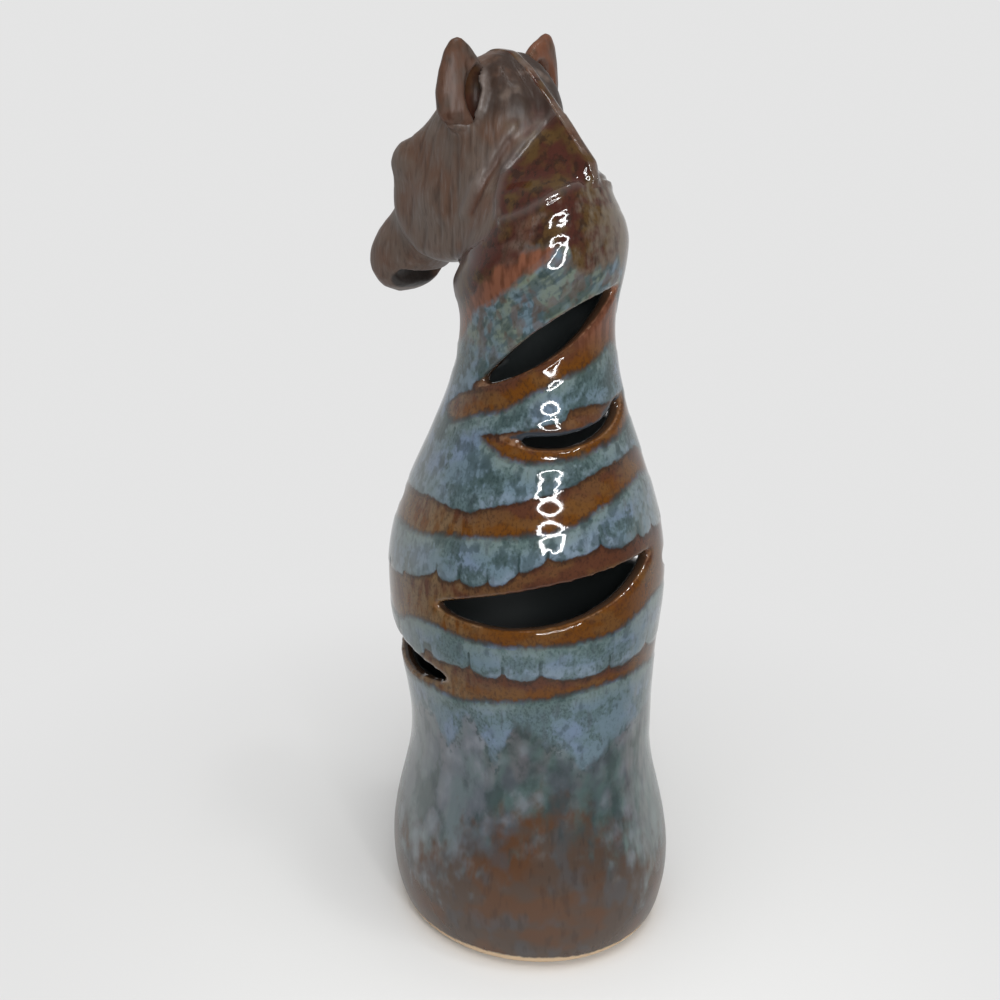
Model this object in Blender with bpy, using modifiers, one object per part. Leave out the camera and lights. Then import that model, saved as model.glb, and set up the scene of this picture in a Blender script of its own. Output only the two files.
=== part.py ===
"""Ceramic zebra figurine: a hollow glazed stoneware bust with stripes cut through its wall.

The clay pieces are made one by one and luted together with slip before firing: an open-footed body
shell, a hollow head shell that sits on the body's sloping neck rim, two ears, a mane strip and two eye
pellets. Metres, +Z up. The zebra faces -Y and its left side is +X. The origin is on the ground, in the
middle of the footprint from muzzle to back.
"""

import math

import bmesh
import bpy
from mathutils import Matrix, Vector

# The body's axis stands behind the origin, because the muzzle reaches out in front.
AXIS_BACK = 0.0099

# The joint: thickness of the slip between two pieces of clay.
SLIP_GAP = 0.0003

# The body: turning points of its outer profile, from the foot to the neck rim.
FOOT_RADIUS = 0.0420
FOOT_RIM_WIDTH = 0.0070
HIP_HEIGHT = 0.0240
HIP_RADIUS = 0.0494
WAIST_HEIGHT = 0.0730
WAIST_RADIUS = 0.0418
BELLY_HEIGHT = 0.1300
BELLY_RADIUS = 0.0469
NECK_HEIGHT = 0.2170
NECK_RADIUS = 0.0248
NAPE_HEIGHT = 0.2350
NAPE_RADIUS = 0.0272
RIM_HEIGHT = 0.2460
RIM_RADIUS = 0.0246
RIM_SLOPE = 27.0
WALL = 0.0050

# The sections are ovals, deeper from front to back than they are wide, and the axis sways a little:
# straight up to the waist, forward at the chest, back at the neck and more so at the nape.
WIDTH_SHARE = 0.958
DEPTH_SHARE = 1.044
CHEST_HEIGHT = 0.1150
CHEST_SWAY = -0.0030
NECK_SWAY = 0.0018
NAPE_SWAY = 0.0028

# The stripes that are cut through the wall. Angles run from the back round by the left side to the
# chest. Each has its first and last angle, its height at both ends, and how far its edges rise and drop.
STRIPE_CUTS = {
    "neck_left": (86, -15, 0.2015, 0.2285, 0.0070, 0.0038),
    "nape_left": (64, -23, 0.1860, 0.1930, 0.0012, 0.0062),
    "flank_left": (84, -10, 0.1310, 0.1453, 0.0042, 0.0100),
    "chest_low": (83, 172, 0.1036, 0.1080, 0.0040, 0.0065),
    "chest_high": (134, 218, 0.1560, 0.1480, 0.0030, 0.0070),
    "throat": (136, 204, 0.2050, 0.1990, 0.0025, 0.0055),
    "neck_right": (-40, -112, 0.2130, 0.1990, 0.0035, 0.0045),
    "shoulder_right": (-46, -118, 0.1880, 0.1820, 0.0025, 0.0045),
    "flank_right": (-28, -118, 0.1400, 0.1275, 0.0030, 0.0080),
}
STRIPE_TIP = 0.0008
STRIPE_FULLNESS = 0.8
STRIPE_COLUMNS = 10

# The head: its axis runs from the poll down to the muzzle, and its rings stand across that axis.
# Heights of the head are counted from the middle of the neck rim.
POLL_FORWARD = 0.0095
POLL_RISE = 0.0340
HEAD_SLOPE = 46.0
HEAD_SQUARENESS = 2.6
# Distance along the axis, half-width, reach on the forehead side and reach on the jaw side.
SKULL_RINGS = {
    "crown": (-0.0130, 0.0105, 0.0135, 0.0080),
    "poll": (-0.0040, 0.0160, 0.0205, 0.0170),
    "forehead": (0.0120, 0.0190, 0.0195, 0.0240),
    "brow": (0.0300, 0.0190, 0.0190, 0.0250),
    "cheek": (0.0420, 0.0165, 0.0165, 0.0195),
    "nose_root": (0.0500, 0.0135, 0.0145, 0.0140),
    "nose": (0.0580, 0.0122, 0.0130, 0.0115),
    "nostrils": (0.0680, 0.0140, 0.0132, 0.0105),
    "lips": (0.0775, 0.0130, 0.0110, 0.0095),
    "lip_end": (0.0835, 0.0075, 0.0060, 0.0055),
}
# The neck's wedge: distance back from the axis, height, half-width, half-depth and slope of each ring.
CREST_RINGS = {
    "mid": (0.0040, 0.0120, 0.0188, 0.0275, 8.0),
    "upper": (0.0055, 0.0212, 0.0110, 0.0250, -18.0),
    "ridge": (0.0075, 0.0338, 0.0042, 0.0230, -45.0),
}
# The jowls: one drum across the head, domed at both ends.
JOWL_ALONG = 0.0310
JOWL_DROP = 0.0050
JOWL_RADIUS = 0.0215
JOWL_SIDE = 0.0185
JOWL_DOME = 0.0030
JOWL_DOME_SHARE = 0.95
BROW_ALONG = 0.0335
BROW_RISE = 0.0115
BROW_SIDE = 0.0130
BROW_RADIUS = 0.0080
# The mouth: an arch cut into the muzzle from the jaw side.
MOUTH_ALONG = 0.0690
MOUTH_DROP = 0.0112
MOUTH_SIDE = 0.0150
MOUTH_DEPTH = 0.0078
MOUTH_WIDTH = 0.0076
NOSTRIL_ALONG = 0.0770
NOSTRIL_RISE = 0.0075
NOSTRIL_SIDE = 0.0090
NOSTRIL_RADIUS = 0.0026
NOSTRIL_HEIGHT = 0.0036

# The ears: pinched leaves with a cup scooped out of the rear face. Their roots hook into the head.
EAR_SIDE = 0.0140
EAR_FORWARD = 0.0140
EAR_ROOT_RISE = 0.0265
EAR_LENGTH = 0.0304
EAR_SPLAY = 11.0
EAR_TURN = 14.0
EAR_HOOK = 0.0060
EAR_HOOK_SHARE = 0.3
EAR_WIDTH = 0.0186
EAR_THICKNESS = 0.0098
# Share of the ear's length, of its width and of its thickness at each ring.
EAR_RINGS = ((0.0, 0.50, 0.66), (0.08, 0.68, 0.84), (0.18, 0.86, 0.98), (0.34, 1.0, 1.0),
             (0.54, 0.94, 0.86), (0.74, 0.72, 0.66), (0.90, 0.43, 0.46), (0.98, 0.20, 0.24),
             (1.0, 0.08, 0.10))
# The cup is a ball's dent: its place inwards, behind the rear face and up the ear, and its half-sizes.
EAR_CUP_INWARDS = 0.0026
EAR_CUP_BEHIND = 0.0015
EAR_CUP_RISE = 0.0140
EAR_CUP_HALF_WIDTH = 0.0054
EAR_CUP_HALF_DEPTH = 0.0057
EAR_CUP_HALF_LENGTH = 0.0097

# The mane: a strip of clay laid along the crest, from between the ears down to the neck rim.
MANE_WIDTH = 0.0054
MANE_HEIGHT = 0.0046
MANE_SQUARENESS = 4.0
MANE_FORELOCK = 0.5
# Distance back from the axis and height of the strip's centre line.
MANE_ROUTE = ((-0.0290, 0.0408), (-0.0235, 0.0468), (-0.0165, 0.0503), (-0.0100, 0.0498),
              (-0.0040, 0.0460), (0.0047, 0.0378), (0.0147, 0.0275), (0.0262, 0.0158))

# The eyes: pellets pressed into sockets below the brows, one at each side of the bridge of the nose.
EYE_ALONG = 0.0430
EYE_RISE = 0.0118
EYE_SIDE = 0.0128
EYE_ROLL = 50.0
EYE_LENGTH = 0.0084
EYE_HEIGHT = 0.0062
EYE_THICKNESS = 0.0052

# Fineness of the meshes.
BODY_SIDES = 32
FOOT_STEPS = 6
PROFILE_STEPS = 28
RING_SIDES = 24
BALL_SIDES = 16
HEAD_VOXEL = 0.0031
HOLLOW_VOXEL = 0.0060
CLAY_SMOOTHING = 3

# The head's hollow: it leaves out rings of the neck's wedge that are narrower than so many walls, takes at
# most this share of a ring's half-width off as wall, and ends before this ring of the skull.
HOLLOW_LIMIT = 1.8
HOLLOW_SHARE = 0.6
HOLLOW_RINGS = 6

HEAD_AXIS = Vector((0, -math.cos(math.radians(HEAD_SLOPE)), -math.sin(math.radians(HEAD_SLOPE))))
HEAD_RISE = Vector((0, -math.sin(math.radians(HEAD_SLOPE)), math.cos(math.radians(HEAD_SLOPE))))
RIM_NORMAL = Vector((0, -math.sin(math.radians(RIM_SLOPE)), math.cos(math.radians(RIM_SLOPE))))
RIM_CENTRE = Vector((0, NAPE_SWAY, RIM_HEIGHT))


def clear_scene():
    for obj in list(bpy.data.objects):
        bpy.data.objects.remove(obj)


def new_collection(name):
    made = bpy.data.collections.new(name)
    bpy.context.scene.collection.children.link(made)
    return made


def glaze(name, colour, roughness):
    """A fired glaze of one colour."""
    made = bpy.data.materials.new(name)
    made.use_nodes = True
    shader = made.node_tree.nodes["Principled BSDF"]
    shader.inputs["Base Color"].default_value = (*colour, 1)
    shader.inputs["Roughness"].default_value = roughness
    shader.inputs["Metallic"].default_value = 0
    made.diffuse_color = (*colour, 1)
    return made


def new_object(name, bm, collection, material=None, angle=50):
    """Makes an object of a bmesh, with its faces pointing out and shaded smooth."""
    bmesh.ops.recalc_face_normals(bm, faces=bm.faces[:])
    mesh = bpy.data.meshes.new(name)
    bm.to_mesh(mesh)
    bm.free()
    mesh.shade_smooth()
    mesh.set_sharp_from_angle(angle=math.radians(angle))
    obj = bpy.data.objects.new(name, mesh)
    collection.objects.link(obj)
    if material:
        mesh.materials.append(material)
    else:
        obj.hide_render = True
        obj.display_type = "WIRE"
    return obj


def add_cut(obj, cutter):
    modifier = obj.modifiers.new("cut_" + cutter.name, "BOOLEAN")
    modifier.operation = "DIFFERENCE"
    modifier.object = cutter
    modifier.solver = "EXACT"


def half_wave(value, turns):
    """Smooth curve through turning points (place, size): level at each one, half a cosine wave between."""
    if value <= turns[0][0]:
        return turns[0][1]
    for (start, first), (end, last) in zip(turns, turns[1:]):
        if value <= end:
            share = 0.5 - 0.5 * math.cos(math.pi * (value - start) / (end - start))
            return first + (last - first) * share
    return turns[-1][1]


def body_radius(height):
    return half_wave(height, ((HIP_HEIGHT, HIP_RADIUS), (WAIST_HEIGHT, WAIST_RADIUS),
                              (BELLY_HEIGHT, BELLY_RADIUS), (NECK_HEIGHT, NECK_RADIUS),
                              (NAPE_HEIGHT, NAPE_RADIUS), (RIM_HEIGHT, RIM_RADIUS)))


def body_sway(height):
    return half_wave(height, ((WAIST_HEIGHT, 0), (CHEST_HEIGHT, CHEST_SWAY), (NECK_HEIGHT, NECK_SWAY),
                              (NAPE_HEIGHT, NAPE_SWAY)))


def wall_side(foot_radius, inset, foot_steps, rise_steps):
    """Points (radius, height) of one side of the wall: an elliptic foot, then the profile up to the rim."""
    hip = HIP_RADIUS - inset
    points = []
    for step in range(foot_steps):
        turn = math.pi / 2 * step / foot_steps
        radius = foot_radius + (hip - foot_radius) * math.sin(turn)
        points.append((radius, HIP_HEIGHT * (1 - math.cos(turn))))
    for step in range(rise_steps + 1):
        height = HIP_HEIGHT + (RIM_HEIGHT - HIP_HEIGHT) * step / rise_steps
        points.append((body_radius(height) - inset, height))
    return points


def on_oval(radius, angle, height):
    """A point of the body, with its angle counted from the back round by the left side."""
    return Vector((radius * WIDTH_SHARE * math.sin(angle),
                   radius * DEPTH_SHARE * math.cos(angle) + body_sway(height), height))


def sloped(point):
    """Above the neck's narrowest place the rings tilt by degrees until the last one is the sloping rim."""
    if point.z > NECK_HEIGHT:
        rim = RIM_CENTRE.z + math.tan(math.radians(RIM_SLOPE)) * (point.y - RIM_CENTRE.y)
        point.z = NECK_HEIGHT + (point.z - NECK_HEIGHT) * (rim - NECK_HEIGHT) / (RIM_HEIGHT - NECK_HEIGHT)
    return point


def stripe_cutter(name, collection):
    """A lens-shaped plug that stands across the wall and follows it round the body."""
    first, last, first_height, last_height, rise, drop = STRIPE_CUTS[name]
    bm = bmesh.new()
    bmesh.ops.create_grid(bm, x_segments=STRIPE_COLUMNS, y_segments=1, size=1)
    flat = {}
    for vert in bm.verts:
        share = (vert.co.x + 1) / 2
        swell = math.sin(math.pi * share) ** STRIPE_FULLNESS
        height = first_height + (last_height - first_height) * share
        if vert.co.y > 0:
            height += STRIPE_TIP / 2 + rise * swell
        else:
            height -= STRIPE_TIP / 2 + drop * swell
        flat[vert] = (math.radians(first + (last - first) * share), height)
    made = bmesh.ops.extrude_face_region(bm, geom=bm.faces[:])
    inner = [item for item in made["geom"] if isinstance(item, bmesh.types.BMVert)]
    places = {tuple(vert.co): flat[vert] for vert in flat}
    for vert in inner:
        angle, height = places[tuple(vert.co)]
        vert.co = on_oval(body_radius(height) - 2 * WALL, angle, height)
    for vert, (angle, height) in flat.items():
        vert.co = on_oval(body_radius(height) + WALL, angle, height)
    bmesh.ops.triangulate(bm, faces=bm.faces[:])
    return new_object("stripe_" + name, bm, collection)


def make_body(collection, cutters, material):
    """The turned wall, with its foot open, its neck rim sloping and its stripes cut through."""
    inner = wall_side(FOOT_RADIUS - FOOT_RIM_WIDTH, WALL, FOOT_STEPS // 2, PROFILE_STEPS // 2)
    outer = wall_side(FOOT_RADIUS, 0, FOOT_STEPS, PROFILE_STEPS)
    bm = bmesh.new()
    verts = [bm.verts.new((radius, 0, height)) for radius, height in outer[::-1] + inner]
    for vert, following in zip(verts, verts[1:] + verts[:1]):
        bm.edges.new((vert, following))
    bmesh.ops.spin(bm, geom=bm.verts[:] + bm.edges[:], axis=(0, 0, 1), cent=(0, 0, 0), angle=2 * math.pi,
                   steps=BODY_SIDES, use_merge=True)
    bmesh.ops.remove_doubles(bm, verts=bm.verts[:], dist=1e-6)
    for vert in bm.verts:
        radius = math.hypot(vert.co.x, vert.co.y)
        vert.co = sloped(on_oval(radius, math.atan2(vert.co.x, vert.co.y), vert.co.z))
    # Flat faces: a cut through a twisted one would not come out the same each time.
    bmesh.ops.triangulate(bm, faces=bm.faces[:])
    body = new_object("body_shell", bm, collection, material)
    for name in STRIPE_CUTS:
        add_cut(body, stripe_cutter(name, cutters))
    return body


def above_rim(back, rise, side=0.0):
    """A point given by its distance back from the axis, its height over the rim, and out to the left."""
    return Vector((side, back, RIM_HEIGHT + rise))


def head_point(along, rise, side=0.0):
    """A point given along the head's axis, out towards the forehead, and out to the left."""
    return above_rim(-POLL_FORWARD, POLL_RISE, side) + HEAD_AXIS * along + HEAD_RISE * rise


def add_loft(bm, rings, squareness=2.0):
    """A closed form through rings, each a matrix that places a circle of radius 1 or a squarer round."""
    loops = []
    for matrix in rings:
        loop = bmesh.ops.create_circle(bm, cap_ends=False, segments=RING_SIDES, radius=1)["verts"]
        for vert in loop:
            reach = (abs(vert.co.x) ** squareness + abs(vert.co.y) ** squareness) ** (1 / squareness)
            vert.co = matrix @ (vert.co / reach)
        loops.append(loop)
    for first, second in zip(loops, loops[1:]):
        for here, there in zip(zip(first, first[1:] + first[:1]), zip(second, second[1:] + second[:1])):
            bm.faces.new((here[0], here[1], there[1], there[0]))
    bm.faces.new(loops[0][::-1])
    bm.faces.new(loops[-1])


def ring_matrix(centre, half_width, half_depth, slope):
    """Places a circle: half_width to each side, half_depth along a line that rises to the back."""
    return (Matrix.Translation(centre) @ Matrix.Rotation(math.radians(slope), 4, "X")
            @ Matrix.Diagonal((half_width, half_depth, 1, 1)))


def on_head(centre, roll, sizes):
    """Places a form of size 1 by its half-sizes to the side, across the head and along it, and its roll."""
    return (Matrix.Translation(centre) @ Matrix.Rotation(math.radians(HEAD_SLOPE - 90), 4, "X")
            @ Matrix.Rotation(math.radians(roll), 4, "Z") @ Matrix.Diagonal((*sizes, 1)))


def add_ball(bm, matrix):
    bmesh.ops.create_uvsphere(bm, u_segments=BALL_SIDES, v_segments=BALL_SIDES // 2, radius=1,
                              matrix=matrix)


def neck_rings(inset, reach):
    """Rings of the neck's wedge, from a reach below the rim up to the crest, or as far as an inset fits."""
    half_width = RIM_RADIUS * WIDTH_SHARE - inset
    half_depth = RIM_RADIUS * DEPTH_SHARE / math.cos(math.radians(RIM_SLOPE)) - inset
    rings = [ring_matrix(RIM_CENTRE - RIM_NORMAL * reach, half_width, half_depth, RIM_SLOPE),
             ring_matrix(RIM_CENTRE, half_width, half_depth, RIM_SLOPE)]
    for back, height, width, depth, slope in CREST_RINGS.values():
        if width > HOLLOW_LIMIT * inset:
            centre = above_rim(back, height - inset)
            rings.append(ring_matrix(centre, width - inset, depth - inset, slope))
    return rings


def skull_rings(inset):
    rings = []
    for along, width, rise, drop in SKULL_RINGS.values():
        centre = head_point(along, (rise - drop) / 2)
        shrink = min(inset, HOLLOW_SHARE * width)
        half_depth = (rise + drop) / 2 - shrink
        rings.append(ring_matrix(centre, width - shrink, half_depth, HEAD_SLOPE - 90))
    return rings


def clay_form(name, bm, collection, voxel, material=None):
    """Merges overlapping forms into one smooth clay skin."""
    obj = new_object(name, bm, collection, material)
    remesh = obj.modifiers.new("merge", "REMESH")
    remesh.mode = "VOXEL"
    remesh.voxel_size = voxel
    remesh.use_smooth_shade = True
    smooth = obj.modifiers.new("smooth", "SMOOTH")
    smooth.factor = 0.5
    smooth.iterations = CLAY_SMOOTHING
    return obj


def make_mouth_cutter(collection):
    """A flat ball that parts the lips from below and runs across the muzzle."""
    bm = bmesh.new()
    sizes = (MOUTH_SIDE, MOUTH_DEPTH, MOUTH_WIDTH / 2)
    add_ball(bm, on_head(head_point(MOUTH_ALONG, -MOUTH_DROP), 0, sizes))
    return new_object("mouth_cutter", bm, collection)


def make_nostril_cutter(side, collection):
    bm = bmesh.new()
    centre = head_point(NOSTRIL_ALONG, NOSTRIL_RISE, side * NOSTRIL_SIDE)
    add_ball(bm, on_head(centre, 0, (NOSTRIL_RADIUS, NOSTRIL_HEIGHT, NOSTRIL_RADIUS)))
    return new_object("nostril_cutter_" + ("left" if side > 0 else "right"), bm, collection)


def make_rim_cutter(collection):
    """Everything below the neck rim, with the slip joint added."""
    reach = 4 * RIM_RADIUS
    bm = bmesh.new()
    made = bmesh.ops.create_cube(bm, size=2 * reach)
    place = (Matrix.Translation(RIM_CENTRE + RIM_NORMAL * (SLIP_GAP - reach))
             @ Matrix.Rotation(math.radians(RIM_SLOPE), 4, "X"))
    bmesh.ops.transform(bm, matrix=place, verts=made["verts"])
    return new_object("rim_cutter", bm, collection)


def make_head(collection, cutters, material):
    """The hollow head and crest, shaped as merged clay forms and cut off along the neck rim."""
    bm = bmesh.new()
    add_loft(bm, neck_rings(0, 2 * WALL))
    add_loft(bm, skull_rings(0), HEAD_SQUARENESS)
    jowl = head_point(JOWL_ALONG, -JOWL_DROP)
    across = Matrix.Translation(jowl) @ Matrix.Rotation(math.pi / 2, 4, "Y")
    bmesh.ops.create_cone(bm, cap_ends=True, segments=2 * RING_SIDES, radius1=JOWL_RADIUS,
                          radius2=JOWL_RADIUS, depth=2 * JOWL_SIDE, matrix=across)
    dome = JOWL_DOME_SHARE * JOWL_RADIUS
    add_ball(bm, on_head(jowl, 0, (JOWL_SIDE + JOWL_DOME, dome, dome)))
    for side in (1, -1):
        brow = head_point(BROW_ALONG, BROW_RISE, side * BROW_SIDE)
        add_ball(bm, Matrix.Translation(brow) @ Matrix.Scale(BROW_RADIUS, 4))
    head = clay_form("head_shell", bm, collection, HEAD_VOXEL, material)
    hollow = bmesh.new()
    add_loft(hollow, neck_rings(WALL, 4 * WALL))
    add_loft(hollow, skull_rings(WALL)[1:HOLLOW_RINGS], HEAD_SQUARENESS)
    add_cut(head, clay_form("head_hollow", hollow, cutters, HOLLOW_VOXEL))
    add_cut(head, make_rim_cutter(cutters))
    add_cut(head, make_mouth_cutter(cutters))
    for side in (1, -1):
        add_cut(head, make_nostril_cutter(side, cutters))
    return head


def add_ear(bm, side, grow):
    """The ear's outer leaf, as rings along its own axis."""
    root = above_rim(-EAR_FORWARD, EAR_ROOT_RISE, side * EAR_SIDE)
    turn = (Matrix.Translation(root) @ Matrix.Rotation(math.radians(side * EAR_SPLAY), 4, "Y")
            @ Matrix.Rotation(math.radians(-side * EAR_TURN), 4, "Z"))
    rings = []
    for share, width, thickness in EAR_RINGS:
        sizes = (EAR_WIDTH / 2 * width + grow, EAR_THICKNESS / 2 * thickness + grow, 1, 1)
        hook = -side * EAR_HOOK * max(0, 1 - share / EAR_HOOK_SHARE) ** 2
        height = EAR_LENGTH * share + grow * (2 * share - 1)
        rings.append(turn @ Matrix.Translation((hook, 0, height)) @ Matrix.Diagonal(sizes))
    add_loft(bm, rings)
    return turn


def make_ear(side, name, collection, cutters, head, material):
    """A leaf with a cup in its rear face, and the socket for its root in the head."""
    bm = bmesh.new()
    turn = add_ear(bm, side, 0)
    ear = new_object(name, bm, collection, material, 70)
    cup = bmesh.new()
    centre = (-side * EAR_CUP_INWARDS, EAR_THICKNESS / 2 + EAR_CUP_BEHIND, EAR_CUP_RISE)
    sizes = (EAR_CUP_HALF_WIDTH, EAR_CUP_HALF_DEPTH, EAR_CUP_HALF_LENGTH, 1)
    add_ball(cup, turn @ Matrix.Translation(centre) @ Matrix.Diagonal(sizes))
    add_cut(ear, new_object(name + "_cup", cup, cutters))
    socket = bmesh.new()
    add_ear(socket, side, SLIP_GAP)
    add_cut(head, new_object(name + "_socket", socket, cutters))
    return ear


def add_mane(bm, grow):
    """Squarish rings along the mane's route, thinner at the forelock."""
    points = [above_rim(back, height) for back, height in MANE_ROUTE]
    rings = []
    last = len(points) - 1
    for index, point in enumerate(points):
        ahead = (points[min(index + 1, last)] - points[max(index - 1, 0)]).normalized()
        slope = math.degrees(math.atan2(ahead.z, ahead.y)) + 90
        taper = MANE_FORELOCK if index == 0 else 1
        shift = ahead * grow * ((index == last) - (index == 0))
        rings.append(ring_matrix(point + shift, MANE_WIDTH / 2 * taper + grow,
                                 MANE_HEIGHT / 2 * taper + grow, slope))
    add_loft(bm, rings, MANE_SQUARENESS)


def make_mane(collection, cutters, head, material):
    """The strip, and the groove that it lies in along the crest."""
    bm = bmesh.new()
    add_mane(bm, 0)
    mane = new_object("mane_strip", bm, collection, material, 70)
    groove = bmesh.new()
    add_mane(groove, SLIP_GAP)
    add_cut(head, new_object("mane_groove", groove, cutters))
    return mane


def add_eye(bm, side, grow):
    sizes = (EYE_THICKNESS / 2 + grow, EYE_HEIGHT / 2 + grow, EYE_LENGTH / 2 + grow)
    centre = head_point(EYE_ALONG, EYE_RISE, side * EYE_SIDE)
    add_ball(bm, on_head(centre, -side * EYE_ROLL, sizes))


def make_eye(side, name, collection, cutters, head, material):
    """A pellet, and its socket in the head."""
    bm = bmesh.new()
    add_eye(bm, side, 0)
    eye = new_object(name, bm, collection, material, 70)
    socket = bmesh.new()
    add_eye(socket, side, SLIP_GAP)
    add_cut(head, new_object(name + "_socket", socket, cutters))
    return eye


def main():
    clear_scene()
    collection = new_collection("ceramic_zebra_figurine")
    cutters = new_collection("cutters")
    blue = glaze("blue_brown_glaze", (0.16, 0.20, 0.22), 0.15)
    brown = glaze("brown_glaze", (0.13, 0.07, 0.045), 0.15)
    dark = glaze("dark_glaze", (0.02, 0.012, 0.01), 0.1)
    make_body(collection, cutters, blue)
    head = make_head(collection, cutters, brown)
    make_mane(collection, cutters, head, brown)
    for side, word in ((1, "left"), (-1, "right")):
        make_ear(side, word + "_ear", collection, cutters, head, brown)
        make_eye(side, word + "_eye", collection, cutters, head, dark)
    axis = bpy.data.objects.new("body_axis", None)
    axis.location.y = AXIS_BACK
    collection.objects.link(axis)
    for obj in [*collection.objects, *cutters.objects]:
        if obj != axis:
            obj.parent = axis


main()
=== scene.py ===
"""Looks of the ceramic zebra figurine: its clay skin, carved hair and runny glazes."""

import math
import random

import bmesh
import bpy
import numpy as np
from mathutils import Matrix, Vector, noise
from mathutils.bvhtree import BVHTree


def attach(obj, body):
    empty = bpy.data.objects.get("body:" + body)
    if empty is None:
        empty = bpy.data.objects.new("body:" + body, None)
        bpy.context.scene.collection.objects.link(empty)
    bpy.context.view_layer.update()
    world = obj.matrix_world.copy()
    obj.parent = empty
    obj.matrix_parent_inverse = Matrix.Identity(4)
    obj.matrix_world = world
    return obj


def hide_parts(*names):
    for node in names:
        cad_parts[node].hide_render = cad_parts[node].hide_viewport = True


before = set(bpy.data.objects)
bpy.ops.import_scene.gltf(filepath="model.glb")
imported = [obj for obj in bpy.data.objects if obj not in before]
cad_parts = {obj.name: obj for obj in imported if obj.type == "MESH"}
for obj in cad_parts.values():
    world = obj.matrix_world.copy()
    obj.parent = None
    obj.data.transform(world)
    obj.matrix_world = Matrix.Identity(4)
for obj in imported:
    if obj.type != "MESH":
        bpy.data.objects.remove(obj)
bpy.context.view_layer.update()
scene = bpy.context.scene

# Body shell: a thrown stoneware pot, open at the foot, with zebra stripes cut through its wall while the
# clay is leather-hard. The lips are rounded with a wet finger, and a runny blue glaze is laid over brown
# bands, so that it hangs down in lobes above them and pools dark along its cracks.
AXIS_BACK = 0.0099
FOOT_RADIUS = 0.042
FOOT_RIM_WIDTH = 0.007
WALL = 0.005
HIP_HEIGHT = 0.024
NECK_HEIGHT = 0.217
RIM_HEIGHT = 0.246
RIM_RADIUS = 0.0246
RIM_SLOPE = math.tan(math.radians(27))
WIDTH_SHARE = 0.958
DEPTH_SHARE = 1.044
BELLY_RADIUS = 0.0469
# Height and outer radius of the wall, and height and sway of its axis.
PROFILE = ((HIP_HEIGHT, 0.0494), (0.073, 0.0418), (0.13, BELLY_RADIUS), (NECK_HEIGHT, 0.0248),
           (0.235, 0.0272), (RIM_HEIGHT, RIM_RADIUS))
SWAY = ((0.073, 0), (0.115, -0.003), (NECK_HEIGHT, 0.0018), (0.235, 0.0028))
NAPE_SWAY = SWAY[-1][1]
# Each cut stripe: first and last angle from the back round by the left side, height at both ends, rise
# and drop of its edges, and how far the brown glaze reaches above and below it.
STRIPES = {
    "neck_left": (91, -19, 0.2003, 0.2296, 0.0068, 0.0036, 0.0004, 0.0026),
    "nape_left": (68, -30, 0.1858, 0.1946, 0.0014, 0.006, 0.0004, 0.0022),
    "flank_left": (87, -14, 0.1306, 0.1459, 0.0035, 0.0092, 0.0026, 0.0026),
    "chest_low": (83, 172, 0.1036, 0.108, 0.004, 0.0065, 0.0014, 0.0026),
    "chest_high": (134, 218, 0.156, 0.148, 0.003, 0.007, 0.002, 0.003),
    "throat": (136, 204, 0.205, 0.199, 0.0025, 0.0055, 0.0014, 0.003),
    "neck_right": (-40, -112, 0.213, 0.199, 0.0035, 0.0045, 0.001, 0.003),
    "shoulder_right": (-46, -118, 0.188, 0.182, 0.0025, 0.0045, 0.0014, 0.0026),
    "flank_right": (-28, -118, 0.14, 0.1275, 0.003, 0.008, 0.0026, 0.0026),
}
STRIPE_TIP = 0.0008
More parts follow.
